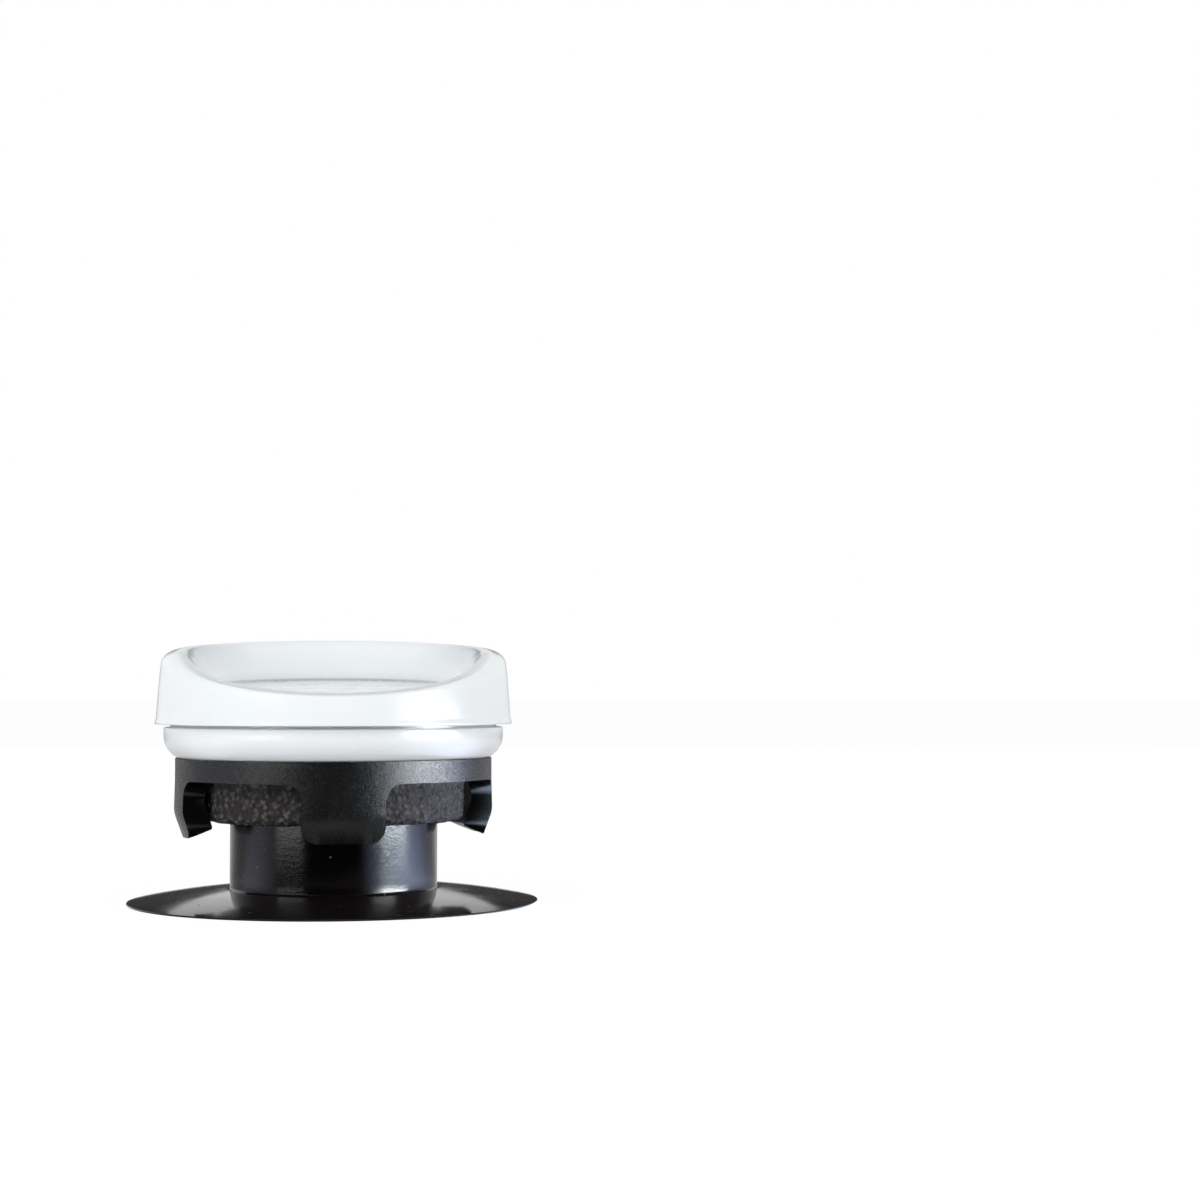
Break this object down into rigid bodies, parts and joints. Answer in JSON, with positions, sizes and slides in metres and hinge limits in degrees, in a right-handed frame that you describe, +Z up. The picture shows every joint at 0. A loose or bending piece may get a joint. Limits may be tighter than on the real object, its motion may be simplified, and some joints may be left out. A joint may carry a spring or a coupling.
{
  "type": "controller thumb grip",
  "caption": "White thumb grip with a scooped dish on a rounded riser, held by a black claw clip on the rubber head of a black thumbstick with a domed skirt.",
  "frame": {"origin": "on the ground under the stick's axis, at the centre of the skirt's flat foot", "axes": "+Z up along the stick's axis, -Y to the low open front of the thumb dish, +X to the right seen from that front"},
  "size_m": [0.0278, 0.0278, 0.0181],
  "materials": {
    "white_rubber": "smooth satin white with a soft sheen",
    "white_plastic": "smooth white",
    "clip_plastic": "fine sparkling grain",
    "tread_rubber": "coarse pebbled matt",
    "stick_plastic": "glossy black with a fine orange peel"
  },
  "bodies": {
    "root": {"thumb_cover": "white_rubber", "riser": "white_plastic", "stick_clip": "clip_plastic", "head_tread": "tread_rubber", "thumbstick": "stick_plastic"}
  },
  "joints": []
}
